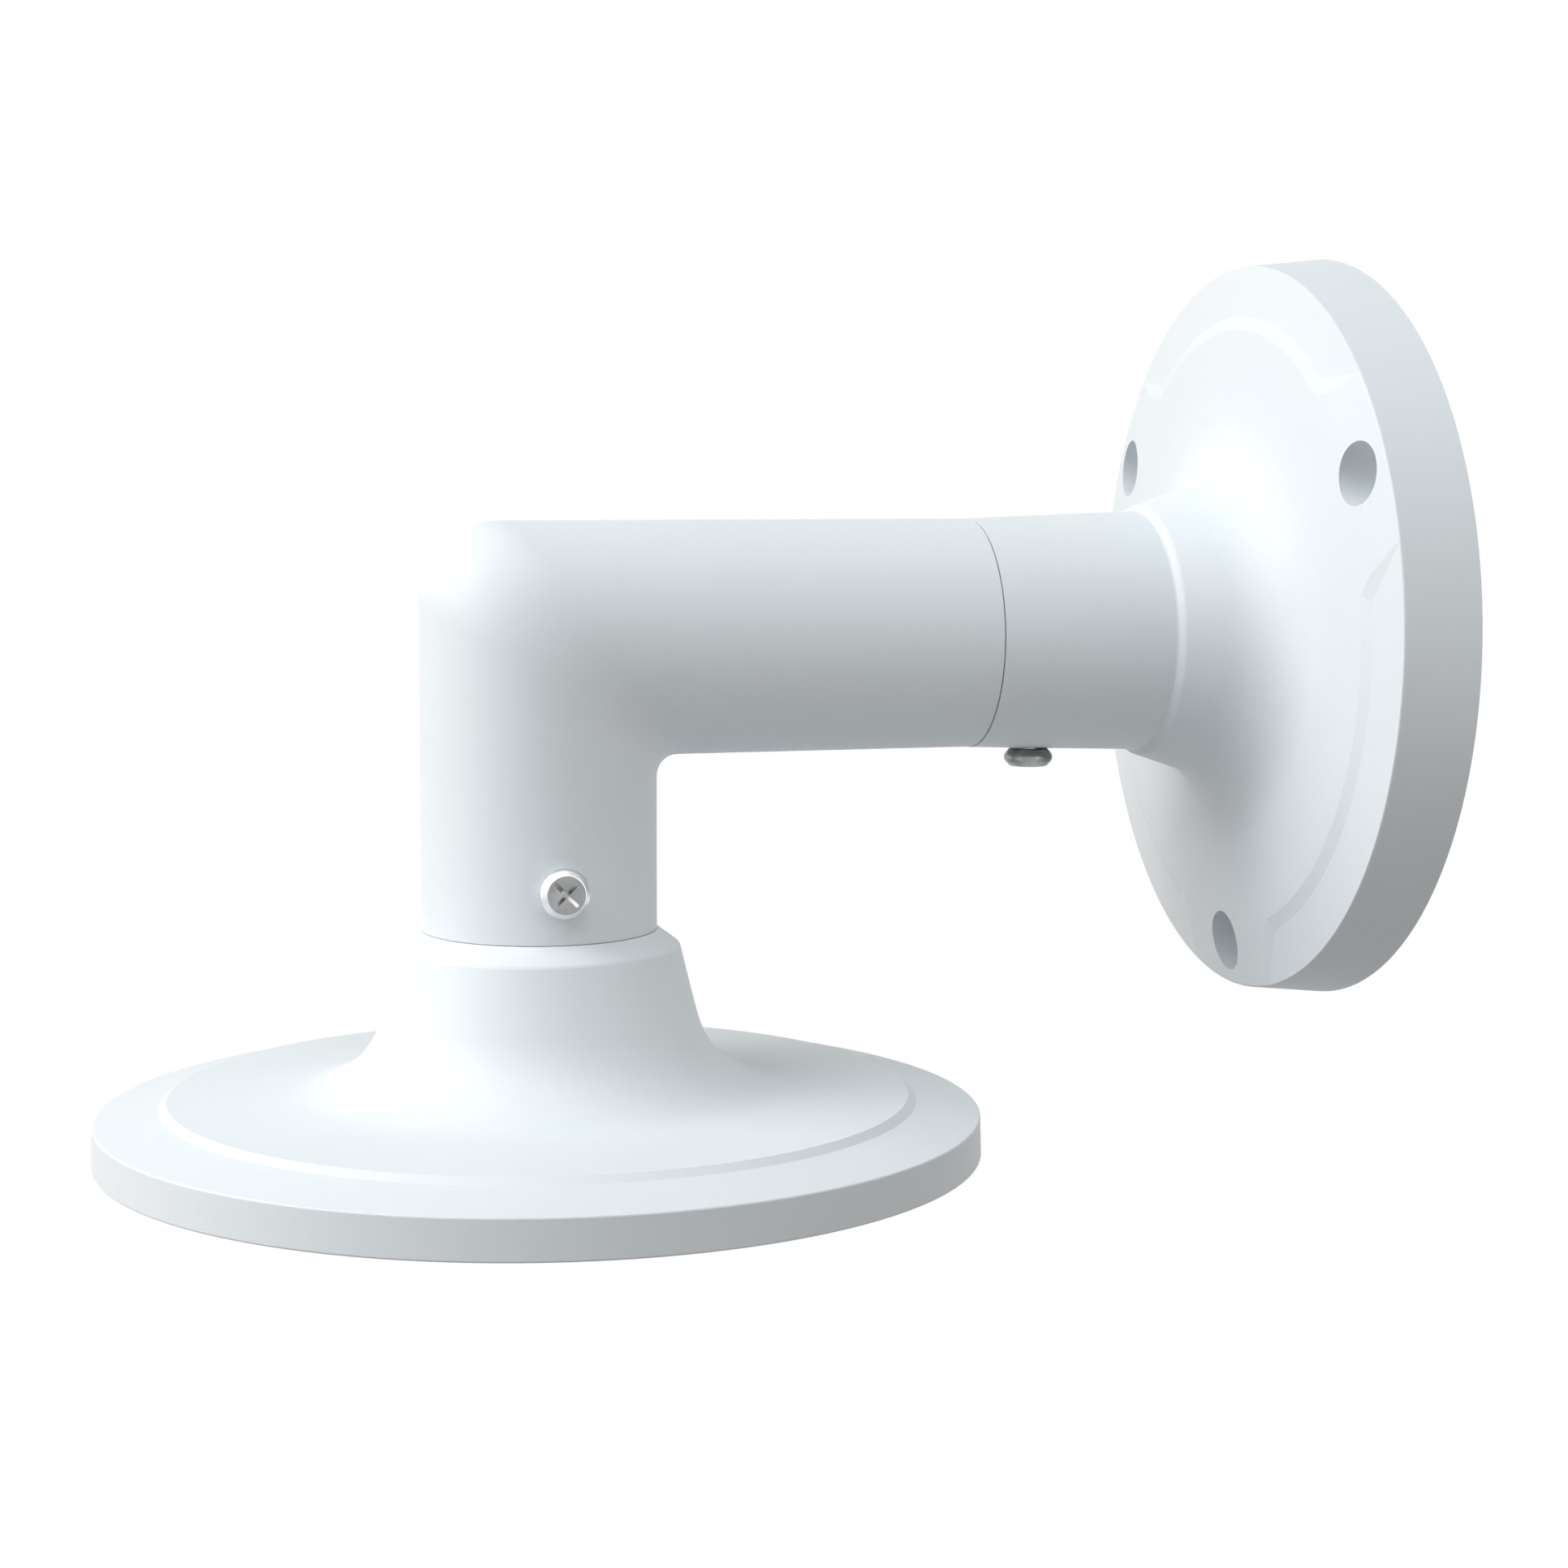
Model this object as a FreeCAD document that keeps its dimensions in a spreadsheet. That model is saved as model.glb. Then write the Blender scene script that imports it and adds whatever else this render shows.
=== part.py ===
import FreeCAD, Part
import math
import os
import Sketcher

# Wall plane is y = 0 with the arm going out along -Y; the leg hangs along -Z.
arm_reach = 121.9
leg_end_drop = 42.5
tube_radius = 17.25
bore_radius = 10.8
spigot_radius = 13.75
spigot_length = 15.5
spigot_clearance = 0.08
socket_spare = 1.0
edge_break = 0.08
seam_gap = 0.18
leg_gap = 0.08
gap_depth = 1.2
lead_in = 0.8

# Elbow corner radii seen from the side: large outside, small inside.
elbow_outer_radius = 12.0
elbow_inner_radius = 3.2

# Wall flange, heights measured forward from the wall.
flange_radius = 56.8
rim_draft = 1.2
rim_depth = 11.4
rim_edge_round = 0.4
pad_width = 9.5
dome_edge_rise = 1.7
dome_rise = 0.9
pad_blend_radius = 40.0
flange_flare_corner = 24.0
flange_flare_radius = 12.0
collar_radius = 19.2
collar_height = 28.2
collar_chamfer = 0.92
collar_edge_round = 0.9
collar_foot_round = 0.5
seam_height = 55.9
stub_end_radius = 17.32

# Shallow recesses between the three fixing pads.
recess_width = 7.6
recess_rise = 0.9
recess_rim_drop = 0.06
recess_step_slope = 2.8
recess_side_inset = 12.1
recess_side_slope = 3.3
recess_side_turn = 12.8

# Fixing holes on the wall side.
fixing_edge_distance = 6.7
fixing_head_radius = 4.65
fixing_screw_radius = 2.75
fixing_seat_height = 4.5
fixing_boss_radius = 6.55
fixing_angle = 30.0

# Hollow back of the wall flange.
flange_rim_wall = 3.8
flange_face_wall = 3.6
trumpet_mouth_radius = 20.5
trumpet_throat_radius = 12.2
trumpet_throat_height = 34.0
trumpet_mouth_round = 5.0
rib_thickness = 2.4
rib_setback = 2.0
rib_height = 9.0
rib_run_out = 5.5

# Camera plate, depths measured down from the arm axis.
plate_radius = 65.0
plate_bottom_radius = 65.2
plate_rim_depth = 69.6
plate_rim_thickness = 5.9
plate_step_radius = 55.6
plate_step_rise = 1.83
plate_dome_radius = 54.4
plate_dome_edge_rise = 2.8
plate_dome_rise = 1.1
plate_flare_corner = 25.8
plate_flare_radius = 14.0
hub_top_radius = 17.45
hub_collar_radius = 20.65
hub_collar_drop = 2.5
hub_collar_round = 0.8
plate_edge_round = 0.3
plate_rim_wall = 3.0
plate_face_wall = 3.9
plate_mouth_radius = 22.5
plate_throat_radius = 15.5
plate_throat_drop = 6.5
plate_rib_setback = 1.4
plate_rib_height = 4.6
plate_rib_run_out = 3.5
camera_boss_circle = 40.0
camera_boss_radius = 4.6
camera_thread_radius = 1.65
camera_thread_depth = 7.0

# Lock screws, a turned head with a cross recess.
screw_radius = 2.0
screw_head_radius = 3.6
screw_head_height = 3.0
screw_head_round = 1.2
screw_under_round = 0.9
screw_length = 6.0
screw_hole_clearance = 0.25
screw_thread_clearance = 0.03
leg_screw_rise = 7.55
arm_screw_setback = 10.1
cross_width = 0.62
cross_reach = 2.3
cross_depth = 1.6

# Every size above becomes one row of the sheet, under its own name.
doc = FreeCAD.newDocument("camera_bracket")
sheet = doc.addObject("Spreadsheet::Sheet", "sizes")
rows = []
for name, value in list(globals().items()):
    if isinstance(value, float):
        rows.append(name)
        sheet.set("A%d" % len(rows), name)
        sheet.set("B%d" % len(rows), str(value))
        sheet.setAlias("B%d" % len(rows), name)
doc.recompute()


def number(expression):
    value = sheet.evalExpression(expression)
    return float(getattr(value, "Value", value))


def origin_plane(body, role):
    for feature in body.Origin.OriginFeatures:
        if feature.Role == role:
            return feature
    raise ValueError(role)


def new_sketch(body, role, name, offset="0"):
    sketch = body.newObject("Sketcher::SketchObject", name)
    sketch.AttachmentSupport = [(origin_plane(body, role), "")]
    sketch.MapMode = "FlatFace"
    if offset != "0":
        sketch.setExpression("AttachmentOffset.Base.z", offset)
        doc.recompute()
    return sketch


def bind(sketch, constraint, expression):
    index = sketch.addConstraint(constraint)
    sketch.setExpression("Constraints[%d]" % index, expression)


def outline(sketch, corners):
    # A closed outline whose every corner is held by two bound distances from the origin.
    points = []
    for across, along in corners:
        points.append(FreeCAD.Vector(number(across), number(along), 0))
    first = sketch.GeometryCount
    count = len(points)
    for index in range(count):
        sketch.addGeometry(Part.LineSegment(points[index], points[(index + 1) % count]), False)
    for index in range(count):
        after = first + (index + 1) % count
        sketch.addConstraint(Sketcher.Constraint("Coincident", first + index, 2, after, 1))
    for index, (across, along) in enumerate(corners):
        bind(sketch, Sketcher.Constraint("DistanceX", first + index, 1, points[index].x), sized(across))
        bind(sketch, Sketcher.Constraint("DistanceY", first + index, 1, points[index].y), sized(along))


def sized(expression):
    # Names in an expression are looked up in the sheet.
    words = []
    word = ""
    for letter in expression + " ":
        if letter.isalnum() or letter in "_.":
            word += letter
        else:
            if word in rows:
                word = "sizes." + word
            words.append(word + letter)
            word = ""
    return "".join(words).strip()


def circle(sketch, across, along, radius):
    centre = FreeCAD.Vector(number(across), number(along), 0)
    shape = Part.Circle(centre, FreeCAD.Vector(0, 0, 1), number(radius))
    index = sketch.addGeometry(shape, False)
    bind(sketch, Sketcher.Constraint("Radius", index, number(radius)), sized(radius))
    bind(sketch, Sketcher.Constraint("DistanceX", index, 3, centre.x), sized(across))
    bind(sketch, Sketcher.Constraint("DistanceY", index, 3, centre.y), sized(along))


def turned(body, sketch, kind, name):
    # Turned both ways from the sketch, so the faces close on the -X side.
    feature = body.newObject(kind, name)
    feature.Profile = (sketch, [""])
    feature.ReferenceAxis = (sketch, ["V_Axis"])
    feature.Angle = 360
    feature.Midplane = True
    doc.recompute()
    return feature


def pad(body, sketch, name, length, bothWays=False):
    feature = body.newObject("PartDesign::Pad", name)
    feature.Profile = (sketch, [""])
    feature.setExpression("Length", sized(length))
    feature.Midplane = bothWays
    doc.recompute()
    return feature


def pocket(body, sketch, name, length, backwards=False):
    before = body.Shape.Volume
    feature = body.newObject("PartDesign::Pocket", name)
    feature.Profile = (sketch, [""])
    feature.setExpression("Length", sized(length))
    feature.Reversed = backwards
    doc.recompute()
    if feature.Shape.Volume > before - 0.01:
        raise ValueError("nothing cut by " + name)
    return feature


def around(body, features, axis, count, name):
    pattern = body.newObject("PartDesign::PolarPattern", name)
    pattern.Originals = features
    pattern.Axis = (origin_plane(body, axis), [""])
    pattern.Angle = 360
    pattern.Occurrences = count
    body.Tip = pattern
    doc.recompute()
    return pattern


def circle_edge(shape, axis, radius, place):
    # Name of the full circle of this radius lying at this place along the axis.
    best = None
    for index, edge in enumerate(shape.Edges):
        if edge.Degenerated or edge.Curve.TypeId != "Part::GeomCircle":
            continue
        centre = edge.Curve.Center
        miss = abs(edge.Curve.Radius - radius) + abs(centre.dot(axis) - place)
        if best is None or miss < best[0]:
            best = (miss, "Edge%d" % (index + 1))
    return best[1]


def rounded(body, base, edge, name, radius):
    feature = body.newObject("PartDesign::Fillet", name)
    feature.Base = (base, [edge])
    feature.setExpression("Radius", sized(radius))
    body.Tip = feature
    doc.recompute()
    return feature


alongY = FreeCAD.Vector(0, 1, 0)
alongZ = FreeCAD.Vector(0, 0, 1)

# Radii that follow from the flange's front edge.
frontRadius = "(flange_radius - rim_draft)"
domeEdgeRadius = "(flange_radius - rim_draft - pad_width)"
recessRadius = "(flange_radius - rim_draft - recess_width)"
recessSideOffset = "(flange_radius - rim_draft - recess_side_inset)"
fixingCircle = "(flange_radius - rim_draft - fixing_edge_distance)"

# Wall flange: one turned casting with the stub, then ribs, bosses and holes.
flange = doc.addObject("PartDesign::Body", "flange_casting")
flangeProfile = new_sketch(flange, "XY_Plane", "flange_profile")
outline(flangeProfile, [
    ("flange_radius", "0"),
    (frontRadius, "-rim_depth"),
    (domeEdgeRadius, "-(rim_depth + dome_edge_rise)"),
    ("flange_flare_corner", "-(rim_depth + dome_edge_rise + dome_rise)"),
    ("collar_radius", "-collar_height"),
    ("collar_radius - collar_chamfer", "-(collar_height + collar_chamfer)"),
    ("stub_end_radius", "-(seam_height - seam_gap)"),
    ("stub_end_radius - gap_depth", "-(seam_height - seam_gap)"),
    ("stub_end_radius - gap_depth", "-seam_height"),
    ("spigot_radius + spigot_clearance + lead_in", "-seam_height"),
    ("spigot_radius + spigot_clearance", "-(seam_height - lead_in)"),
    ("spigot_radius + spigot_clearance", "-(seam_height - spigot_length - socket_spare)"),
    ("trumpet_throat_radius", "-(seam_height - spigot_length - socket_spare)"),
    ("trumpet_throat_radius", "-trumpet_throat_height"),
    ("trumpet_mouth_radius", "-(rim_depth + dome_edge_rise + dome_rise - flange_face_wall)"),
    (frontRadius + " - flange_rim_wall - 2", "-(rim_depth - flange_face_wall + 0.6)"),
    (frontRadius + " - flange_rim_wall", "-(rim_depth - flange_face_wall - 1.4)"),
    ("flange_radius - flange_rim_wall", "0"),
])
flangeTurned = turned(flange, flangeProfile, "PartDesign::Revolution", "flange_turned")
flareEdge = circle_edge(flangeTurned.Shape, alongY, number("flange_flare_corner"),
                        number("-(rim_depth + dome_edge_rise + dome_rise)"))
flangeFlare = rounded(flange, flangeTurned, flareEdge, "flange_flare", "flange_flare_radius")
padEdge = circle_edge(flangeFlare.Shape, alongY, number(domeEdgeRadius),
                      number("-(rim_depth + dome_edge_rise)"))
padBlend = rounded(flange, flangeFlare, padEdge, "pad_blend", "pad_blend_radius")
mouthEdge = circle_edge(padBlend.Shape, alongY, number("trumpet_mouth_radius"),
                        number("-(rim_depth + dome_edge_rise + dome_rise - flange_face_wall)"))
mouthRound = rounded(flange, padBlend, mouthEdge, "trumpet_mouth", "trumpet_mouth_round")
rimEdge = circle_edge(mouthRound.Shape, alongY, number(frontRadius), number("-rim_depth"))
rimRound = rounded(flange, mouthRound, rimEdge, "rim_edge", "rim_edge_round")
collarEdge = circle_edge(rimRound.Shape, alongY, number("collar_radius"), number("-collar_height"))
collarRound = rounded(flange, rimRound, collarEdge, "collar_edge", "collar_edge_round")
collarFoot = circle_edge(collarRound.Shape, alongY, number("collar_radius - collar_chamfer"),
                         number("-(collar_height + collar_chamfer)"))
collarSoft = rounded(flange, collarRound, collarFoot, "collar_foot", "collar_foot_round")

ribSketch = new_sketch(flange, "XY_Plane", "flange_rib_outline")
outline(ribSketch, [
    ("trumpet_mouth_radius + trumpet_mouth_round - 0.5", "-(rib_setback + rib_height)"),
    ("trumpet_mouth_radius + trumpet_mouth_round + rib_run_out", "-rib_setback"),
    (frontRadius + " - flange_rim_wall + 1.5", "-rib_setback"),
    (frontRadius + " - flange_rim_wall + 1.5", "-(rib_setback + rib_height)"),
])
ribPad = pad(flange, ribSketch, "flange_rib", "rib_thickness", True)
ribs = around(flange, [ribPad], "Y_Axis", 6, "flange_ribs")

bossSketch = new_sketch(flange, "XZ_Plane", "fixing_boss_outline")
circle(bossSketch, fixingCircle + " * cos(fixing_angle)",
       fixingCircle + " * sin(fixing_angle)", "fixing_boss_radius")
bossPad = pad(flange, bossSketch, "fixing_boss", "rim_depth - 0.6")
bosses = around(flange, [bossPad], "Y_Axis", 3, "fixing_bosses")

screwHoleSketch = new_sketch(flange, "XZ_Plane", "fixing_hole_outline")
circle(screwHoleSketch, fixingCircle + " * cos(fixing_angle)",
       fixingCircle + " * sin(fixing_angle)", "fixing_screw_radius")
screwHole = pocket(flange, screwHoleSketch, "fixing_hole", "fixing_seat_height + 2", True)
screwHoles = around(flange, [screwHole], "Y_Axis", 3, "fixing_holes")
headHoleSketch = new_sketch(flange, "XZ_Plane", "fixing_head_outline", "sizes.fixing_seat_height")
circle(headHoleSketch, fixingCircle + " * cos(fixing_angle)",
       fixingCircle + " * sin(fixing_angle)", "fixing_head_radius")
headHole = pocket(flange, headHoleSketch, "fixing_head_hole", "rim_depth + 10", True)
headHoles = around(flange, [headHole], "Y_Axis", 3, "fixing_head_holes")

armHoleSketch = new_sketch(flange, "XY_Plane", "arm_screw_outline")
circle(armHoleSketch, "0", "-(seam_height - arm_screw_setback)",
       "screw_radius + screw_hole_clearance")
armHole = pocket(flange, armHoleSketch, "arm_screw_hole", "tube_radius * 2")

# The recesses: a turned ring less the common part of two three-sided tapering blocks,
# turned a little each way, that spares the pads.
ring = doc.addObject("PartDesign::Body", "recess_ring")
ringProfile = new_sketch(ring, "XY_Plane", "recess_ring_profile")
recessTop = "rim_depth + dome_edge_rise + 1.5"
floorRun = "(recess_rise + recess_rim_drop) / recess_width"
outline(ringProfile, [
    ("flange_radius + 2", "-(rim_depth - recess_rim_drop - (rim_draft + 2) * " + floorRun + ")"),
    (recessRadius, "-(rim_depth + recess_rise)"),
    (recessRadius + " - recess_step_slope * (dome_edge_rise + 1.5 - recess_rise)",
     "-(" + recessTop + ")"),
    ("flange_radius + 2", "-(" + recessTop + ")"),
])
turned(ring, ringProfile, "PartDesign::Revolution", "recess_ring_turned")


def pad_triangle(name, height, turn):
    # Three-sided block section at a height, with its corners towards the fixing pads.
    section = doc.addObject("Part::RegularPolygon", name)
    section.Polygon = 3
    reach = "2 * (" + recessSideOffset + " + recess_side_slope"
    reach += " * (rim_depth + recess_rise - (" + height + ")))"
    section.setExpression("Circumradius", sized(reach))
    spin = "rotation(vector(1; 0; 0); 90) * rotation(vector(0; 0; 1); fixing_angle + " + turn + ")"
    place = "placement(vector(0; -(" + height + "); 0); " + spin + ")"
    section.setExpression("Placement", sized(place))
    return section


def pad_block(name, turn):
    block = doc.addObject("Part::Loft", name)
    block.Sections = [pad_triangle(name + "_low", "rim_depth - 1", turn),
                      pad_triangle(name + "_high", recessTop + " + 0.5", turn)]
    block.Solid = True
    block.Ruled = True
    return block


spared = doc.addObject("Part::Common", "spared_pads")
spared.Base = pad_block("pads_turned_right", "recess_side_turn")
spared.Tool = pad_block("pads_turned_left", "-recess_side_turn")
recesses = doc.addObject("Part::Cut", "recesses")
recesses.Base = ring
recesses.Tool = spared
wallFlange = doc.addObject("Part::Cut", "wall_flange")
wallFlange.Base = flange
wallFlange.Tool = recesses
doc.recompute()

# Elbow arm: two straight tubes joined by a lofted corner whose radius runs from
# the large outer radius to the small inner one, every section a plane ellipse.
meanRadius = "(elbow_outer_radius + elbow_inner_radius) / 2"
halfSpread = "(elbow_outer_radius - elbow_inner_radius) / 2"


def elbow_lean(angle):
    # Parts of the long half axis of the section at this turn: out along -Y and up along Z.
    out = "(tube_radius - " + halfSpread + " * (1 - sin(" + angle + ")))"
    up = "(tube_radius - " + halfSpread + " * (1 - cos(" + angle + ")))"
    return out, up


def elbow_section(step, angle):
    section = doc.addObject("Part::Ellipse", "elbow_section_%d" % step)
    out, up = elbow_lean(angle)
    along = "-arm_reach + " + meanRadius + " * (1 - sin(" + angle + "))"
    height = "-" + meanRadius + " * (1 - cos(" + angle + "))"
    section.setExpression("MajorRadius", sized("sqrt(" + out + " ^ 2 + " + up + " ^ 2)"))
    section.setExpression("MinorRadius", sized("tube_radius"))
    turn = "rotation(vector(1; 0; 0); atan(" + out + " / " + up + ")) * rotation(vector(1; 1; 1); 240)"
    place = "placement(vector(0; " + along + "; " + height + "); " + turn + ")"
    section.setExpression("Placement", sized(place))
    return section


sections = []
stepCount = 9
for step in range(stepCount + 1):
    sections.append(elbow_section(step, str(step * 90 / stepCount)))
elbow = doc.addObject("Part::Loft", "elbow_corner")
elbow.Sections = sections
elbow.Solid = True
elbow.Ruled = False


def straight_tube(name, radius, start, length, turn):
    tube = doc.addObject("Part::Cylinder", name)
    tube.setExpression("Radius", sized(radius))
    tube.setExpression("Height", sized(length))
    tube.setExpression("Placement", sized("placement(vector(" + start + "); " + turn + ")"))
    return tube


towardWall = "rotation(vector(1; 0; 0); -90) * rotation(vector(0; 0; 1); 90)"
upright = "rotation(vector(0; 0; 1); 90)"
armTube = straight_tube("arm_tube", "tube_radius", "0; -(arm_reach + tube_radius); 0",
                        "arm_reach + tube_radius - seam_height", towardWall)
legTube = straight_tube("leg_tube", "tube_radius", "0; -arm_reach; -leg_end_drop",
                        "leg_end_drop + tube_radius", upright)


def beyond(name, angle, sense):
    # A block filling the far side of the slanting end section of a straight tube.
    block = doc.addObject("Part::Box", name)
    out, up = elbow_lean(angle)
    block.setExpression("Length", sized("tube_radius * 4"))
    block.setExpression("Width", sized("tube_radius * 6"))
    block.setExpression("Height", sized("tube_radius * 8"))
    along = "-arm_reach + " + meanRadius + " * (1 - sin(" + angle + "))"
    height = "-" + meanRadius + " * (1 - cos(" + angle + "))"
    tilt = "placement(vector(0; " + along + "; " + height + "); rotation(vector(1; 0; 0); atan("
    tilt += out + " / " + up + ")))"
    shift = "placement(vector(-tube_radius * 2; " + sense + "; -tube_radius * 4); "
    shift += "rotation(vector(0; 0; 1); 0))"
    block.setExpression("Placement", sized(tilt + " * " + shift))
    return block


armTrim = doc.addObject("Part::Cut", "arm_straight")
armTrim.Base = armTube
armTrim.Tool = beyond("beyond_arm", "0", "-tube_radius * 6")
legTrim = doc.addObject("Part::Cut", "leg_straight")
legTrim.Base = legTube
legTrim.Tool = beyond("beyond_leg", "90", "0")
spigot = straight_tube("arm_spigot", "spigot_radius", "0; -(seam_height + 2); 0",
                       "spigot_length + 2", towardWall)
skin = doc.addObject("Part::MultiFuse", "arm_skin")
skin.Shapes = [armTrim, elbow, legTrim, spigot]
doc.recompute()

arm = doc.addObject("PartDesign::Body", "elbow_arm")
arm.BaseFeature = skin
doc.recompute()
armCoreSketch = new_sketch(arm, "XY_Plane", "arm_core_profile")
outline(armCoreSketch, [
    ("0", "-(seam_height - spigot_length - 1)"),
    ("bore_radius", "-(seam_height - spigot_length - 1)"),
    ("bore_radius", "-arm_reach"),
    ("0", "-arm_reach"),
])
armCore = turned(arm, armCoreSketch, "PartDesign::Groove", "arm_core")
legCoreSketch = new_sketch(arm, "YZ_Plane", "leg_core_profile")
outline(legCoreSketch, [
    ("-arm_reach", "0"),
    ("-arm_reach + bore_radius", "0"),
    ("-arm_reach + bore_radius", "-(leg_end_drop - spigot_length - socket_spare)"),
    ("-arm_reach + spigot_radius + spigot_clearance", "-(leg_end_drop - spigot_length - socket_spare)"),
    ("-arm_reach + spigot_radius + spigot_clearance", "-(leg_end_drop - lead_in)"),
    ("-arm_reach + spigot_radius + spigot_clearance + lead_in", "-leg_end_drop"),
    ("-arm_reach + spigot_radius + spigot_clearance + lead_in", "-(leg_end_drop + 1)"),
    ("-arm_reach", "-(leg_end_drop + 1)"),
])
legCore = arm.newObject("PartDesign::Groove", "leg_core")
legCore.Profile = (legCoreSketch, [""])
legCore.ReferenceAxis = (legCoreSketch, ["Edge8"])
legCore.Angle = 360
doc.recompute()
bendSketch = new_sketch(arm, "YZ_Plane", "bend_core_profile")
bendLine = Part.LineSegment(FreeCAD.Vector(number("-arm_reach"), number("-bore_radius"), 0),
                            FreeCAD.Vector(number("-arm_reach"), number("bore_radius"), 0))
bendCircle = Part.Circle(FreeCAD.Vector(number("-arm_reach"), 0, 0), FreeCAD.Vector(0, 0, 1),
                         number("bore_radius"))
bendArc = Part.ArcOfCircle(bendCircle, -math.pi / 2, math.pi / 2)
bendSketch.addGeometry(bendLine, False)
bendSketch.addGeometry(bendArc, False)
bendSketch.addConstraint(Sketcher.Constraint("Coincident", 0, 1, 1, 1))
bendSketch.addConstraint(Sketcher.Constraint("Coincident", 0, 2, 1, 2))
bendSketch.addConstraint(Sketcher.Constraint("Vertical", 0))
bendSketch.addConstraint(Sketcher.Constraint("PointOnObject", 1, 3, -1))
bendSketch.addConstraint(Sketcher.Constraint("PointOnObject", 1, 3, 0))
bind(bendSketch, Sketcher.Constraint("Radius", 1, number("bore_radius")), sized("bore_radius"))
bind(bendSketch, Sketcher.Constraint("DistanceX", 1, 3, number("-arm_reach")), sized("-arm_reach"))
bendCore = arm.newObject("PartDesign::Groove", "bend_core")
bendCore.Profile = (bendSketch, [""])
bendCore.ReferenceAxis = (bendSketch, ["Edge1"])
bendCore.Angle = 360
doc.recompute()

threadSketch = new_sketch(arm, "XY_Plane", "arm_thread_outline")
circle(threadSketch, "0", "-(seam_height - arm_screw_setback)", "screw_radius + screw_thread_clearance")
armThread = pocket(arm, threadSketch, "arm_thread_hole", "tube_radius * 2")
legHoleSketch = new_sketch(arm, "YZ_Plane", "leg_screw_outline")
circle(legHoleSketch, "-arm_reach", "-(leg_end_drop - leg_screw_rise)",
       "screw_radius + screw_hole_clearance")
legHole = pocket(arm, legHoleSketch, "leg_screw_hole", "tube_radius * 2", True)


def broken_edges(body, base, names, name, amount):
    feature = body.newObject("PartDesign::Chamfer", name)
    feature.Base = (base, names)
    feature.setExpression("Size", sized(amount))
    body.Tip = feature
    doc.recompute()
    return feature


seamEdge = circle_edge(legHole.Shape, alongY, number("tube_radius"), number("-seam_height"))
legEdge = circle_edge(legHole.Shape, alongZ, number("tube_radius"), number("-leg_end_drop"))
softEnds = broken_edges(arm, legHole, [seamEdge, legEdge], "tube_end_edges", "edge_break")
tipEdge = circle_edge(softEnds.Shape, alongY, number("spigot_radius"),
                      number("-(seam_height - spigot_length)"))
spigotTip = broken_edges(arm, softEnds, [tipEdge], "spigot_tip", "lead_in")

# Camera plate: its own frame has the leg axis as Z, at the arm's reach.
plate = doc.addObject("PartDesign::Body", "camera_plate")
plate.setExpression("Placement.Base.y", "-sizes.arm_reach")
plateBottom = "plate_rim_depth + plate_rim_thickness"
domeTop = "plate_rim_depth - plate_dome_edge_rise - plate_dome_rise"
plateProfile = new_sketch(plate, "XZ_Plane", "plate_profile")
outline(plateProfile, [
    ("bore_radius", "-(leg_end_drop - spigot_length)"),
    ("spigot_radius - lead_in", "-(leg_end_drop - spigot_length)"),
    ("spigot_radius", "-(leg_end_drop - spigot_length + lead_in)"),
    ("spigot_radius", "-leg_end_drop"),
    ("tube_radius - gap_depth", "-leg_end_drop"),
    ("tube_radius - gap_depth", "-(leg_end_drop + leg_gap)"),
    ("hub_top_radius", "-(leg_end_drop + leg_gap)"),
    ("hub_collar_radius", "-(leg_end_drop + hub_collar_drop)"),
    ("plate_flare_corner", "-(" + domeTop + ")"),
    ("plate_dome_radius", "-(plate_rim_depth - plate_dome_edge_rise)"),
    ("plate_step_radius", "-(plate_rim_depth - plate_step_rise)"),
    ("plate_radius", "-plate_rim_depth"),
    ("plate_bottom_radius", "-(" + plateBottom + ")"),
    ("plate_bottom_radius - plate_rim_wall", "-(" + plateBottom + ")"),
    ("plate_radius - plate_rim_wall - 0.2", "-(plate_rim_depth + plate_face_wall - 0.7)"),
    ("plate_dome_radius - 1", "-(plate_rim_depth - plate_dome_edge_rise + plate_face_wall)"),
    ("plate_mouth_radius", "-(" + domeTop + " + plate_face_wall + 0.3)"),
    ("plate_throat_radius", "-(leg_end_drop + plate_throat_drop)"),
    ("bore_radius", "-(leg_end_drop + 2)"),
])
plateTurned = turned(plate, plateProfile, "PartDesign::Revolution", "plate_turned")
plateFlareEdge = circle_edge(plateTurned.Shape, alongZ, number("plate_flare_corner"),
                             number("-(" + domeTop + ")"))
plateFlare = rounded(plate, plateTurned, plateFlareEdge, "plate_flare", "plate_flare_radius")
plateMouthEdge = circle_edge(plateFlare.Shape, alongZ, number("plate_mouth_radius"),
                             number("-(" + domeTop + " + plate_face_wall + 0.3)"))
plateMouth = rounded(plate, plateFlare, plateMouthEdge, "plate_mouth", "trumpet_mouth_round")
hubEdge = circle_edge(plateMouth.Shape, alongZ, number("hub_collar_radius"),
                      number("-(leg_end_drop + hub_collar_drop)"))
hubRound = rounded(plate, plateMouth, hubEdge, "hub_collar_edge", "hub_collar_round")
plateTopEdge = circle_edge(hubRound.Shape, alongZ, number("plate_radius"), number("-plate_rim_depth"))
plateTopRound = rounded(plate, hubRound, plateTopEdge, "plate_top_edge", "plate_edge_round")
plateLowEdge = circle_edge(plateTopRound.Shape, alongZ, number("plate_bottom_radius"),
                           number("-(" + plateBottom + ")"))
plateLowRound = rounded(plate, plateTopRound, plateLowEdge, "plate_bottom_edge", "plate_edge_round")

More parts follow.
